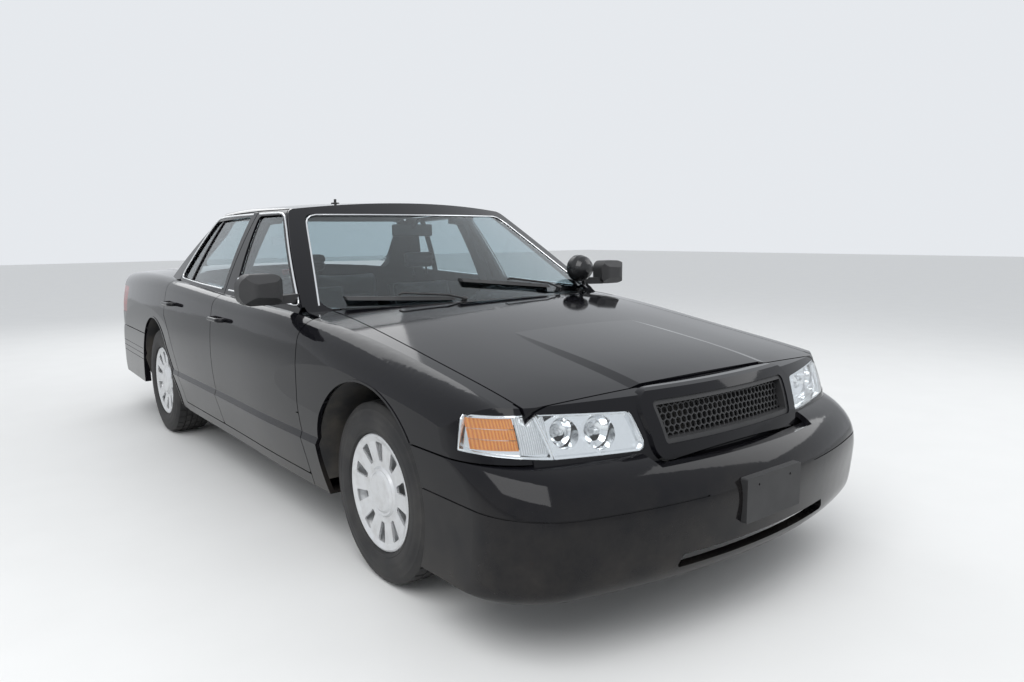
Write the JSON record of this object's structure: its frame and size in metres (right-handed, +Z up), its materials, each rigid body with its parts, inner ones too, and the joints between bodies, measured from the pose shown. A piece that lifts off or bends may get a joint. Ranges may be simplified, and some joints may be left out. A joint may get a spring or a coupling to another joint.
{
  "type": "police patrol car",
  "caption": "Four-door black patrol saloon with an A-pillar spotlight, opening doors, bonnet and boot, steering front wheels and rolling tyres.",
  "frame": {"origin": "centre of the car's outline on the plan, on the ground", "axes": "+Z up, +Y towards the tail, +X towards the car's left side"},
  "size_m": [2.2784, 5.3874, 1.4849],
  "materials": {
    "gloss_black_paint": "gloss",
    "black_plastic": "matte",
    "spotlight_housing": "satin",
    "clear_lens": "clear",
    "lamp_reflector": "bright",
    "red_lens": "gloss",
    "window_glass": "tinted",
    "tyre_rubber": "matte",
    "silver_wheel": "satin",
    "black_steel": "satin",
    "floor_steel": "satin",
    "cast_engine": "cast",
    "exhaust_steel": "dull",
    "seat_cloth": "woven"
  },
  "bodies": {
    "car": {"chassis_frame": "black_steel", "floor_pan": "floor_steel", "engine_bay": "floor_steel", "rear_wheel_houses": "floor_steel", "powertrain": "cast_engine", "exhaust": "exhaust_steel", "rear_axle": "black_steel", "front_suspension": "black_steel", "front_fenders": "gloss_black_paint", "nose_panel": "gloss_black_paint", "grille": "black_plastic", "front_lamp_lenses": "clear_lens", "front_lamp_housings": "lamp_reflector", "front_bumper": "gloss_black_paint", "rear_bumper": "gloss_black_paint", "tail_lamps": "red_lens", "tail_panel": "gloss_black_paint", "quarter_panels": "gloss_black_paint", "a_pillars": "gloss_black_paint", "b_pillars": "black_plastic", "roof": "gloss_black_paint", "sills": "gloss_black_paint", "cowl": "black_plastic", "rear_deck": "gloss_black_paint", "windscreen": "window_glass", "rear_window": "window_glass", "front_seats": "seat_cloth", "rear_seat": "seat_cloth", "dashboard": "black_plastic", "steering_wheel": "black_plastic", "wipers": "black_plastic", "plate_bracket": "black_plastic", "spotlight": "spotlight_housing"},
    "hood": {"hood": "gloss_black_paint"},
    "trunk_lid": {"trunk_lid": "gloss_black_paint"},
    "fuel_door": {"fuel_door": "gloss_black_paint"},
    "front_door_left": {"front_door_left": "gloss_black_paint", "front_glass_left": "window_glass", "mirror_left": "black_plastic"},
    "front_door_right": {"front_door_right": "gloss_black_paint", "front_glass_right": "window_glass", "mirror_right": "black_plastic"},
    "rear_door_left": {"rear_door_left": "gloss_black_paint", "rear_glass_left": "window_glass"},
    "rear_door_right": {"rear_door_right": "gloss_black_paint", "rear_glass_right": "window_glass"},
    "knuckle_left": {"knuckle_left": "black_steel"},
    "knuckle_right": {"knuckle_right": "black_steel"},
    "wheel_front_left": {"wheel_front_left": "silver_wheel", "tyre_front_left": "tyre_rubber"},
    "wheel_front_right": {"wheel_front_right": "silver_wheel", "tyre_front_right": "tyre_rubber"},
    "wheel_rear_left": {"wheel_rear_left": "silver_wheel", "tyre_rear_left": "tyre_rubber"},
    "wheel_rear_right": {"wheel_rear_right": "silver_wheel", "tyre_rear_right": "tyre_rubber"}
  },
  "joints": [
    {"name": "hood_hinge", "type": "hinge", "parent": "car", "child": "hood", "pos_m": [0, -1.014, 0.953], "axis": [-1, 0, 0], "range_deg": [0, 60]},
    {"name": "trunk_hinge", "type": "hinge", "parent": "car", "child": "trunk_lid", "pos_m": [0, 1.455, 1.071], "axis": [1, 0, 0], "range_deg": [0, 75]},
    {"name": "fuel_door_hinge", "type": "hinge", "parent": "car", "child": "fuel_door", "pos_m": [0.957, 1.679, 0.83], "axis": [0, 0, -1], "range_deg": [0, 80]},
    {"name": "front_door_left_hinge", "type": "hinge", "parent": "car", "child": "front_door_left", "pos_m": [0.98, -1.067, 0.6], "axis": [0, 0, -1], "range_deg": [0, 65]},
    {"name": "front_door_right_hinge", "type": "hinge", "parent": "car", "child": "front_door_right", "pos_m": [-0.98, -1.067, 0.6], "axis": [0, 0, 1], "range_deg": [0, 65]},
    {"name": "rear_door_left_hinge", "type": "hinge", "parent": "car", "child": "rear_door_left", "pos_m": [0.98, 0.065, 0.6], "axis": [0, 0, -1], "range_deg": [0, 65]},
    {"name": "rear_door_right_hinge", "type": "hinge", "parent": "car", "child": "rear_door_right", "pos_m": [-0.98, 0.065, 0.6], "axis": [0, 0, 1], "range_deg": [0, 65]},
    {"name": "steer_left", "type": "hinge", "parent": "car", "child": "knuckle_left", "pos_m": [0.765, -1.6225, 0.345], "axis": [0, 0, 1], "range_deg": [-32, 32]},
    {"name": "steer_right", "type": "hinge", "parent": "car", "child": "knuckle_right", "pos_m": [-0.765, -1.6225, 0.345], "axis": [0, 0, 1], "range_deg": [-32, 32]},
    {"name": "wheel_front_left_spin", "type": "hinge", "parent": "knuckle_left", "child": "wheel_front_left", "pos_m": [0.805, -1.6225, 0.345], "axis": [1, 0, 0], "continuous": true},
    {"name": "wheel_front_right_spin", "type": "hinge", "parent": "knuckle_right", "child": "wheel_front_right", "pos_m": [-0.805, -1.6225, 0.345], "axis": [1, 0, 0], "continuous": true},
    {"name": "wheel_rear_left_spin", "type": "hinge", "parent": "car", "child": "wheel_rear_left", "pos_m": [0.833, 1.2905, 0.345], "axis": [1, 0, 0], "continuous": true},
    {"name": "wheel_rear_right_spin", "type": "hinge", "parent": "car", "child": "wheel_rear_right", "pos_m": [-0.833, 1.2905, 0.345], "axis": [1, 0, 0], "continuous": true}
  ],
  "couplings": [
    {"joint": "steer_right", "follows": "steer_left", "ratio": 1}
  ]
}
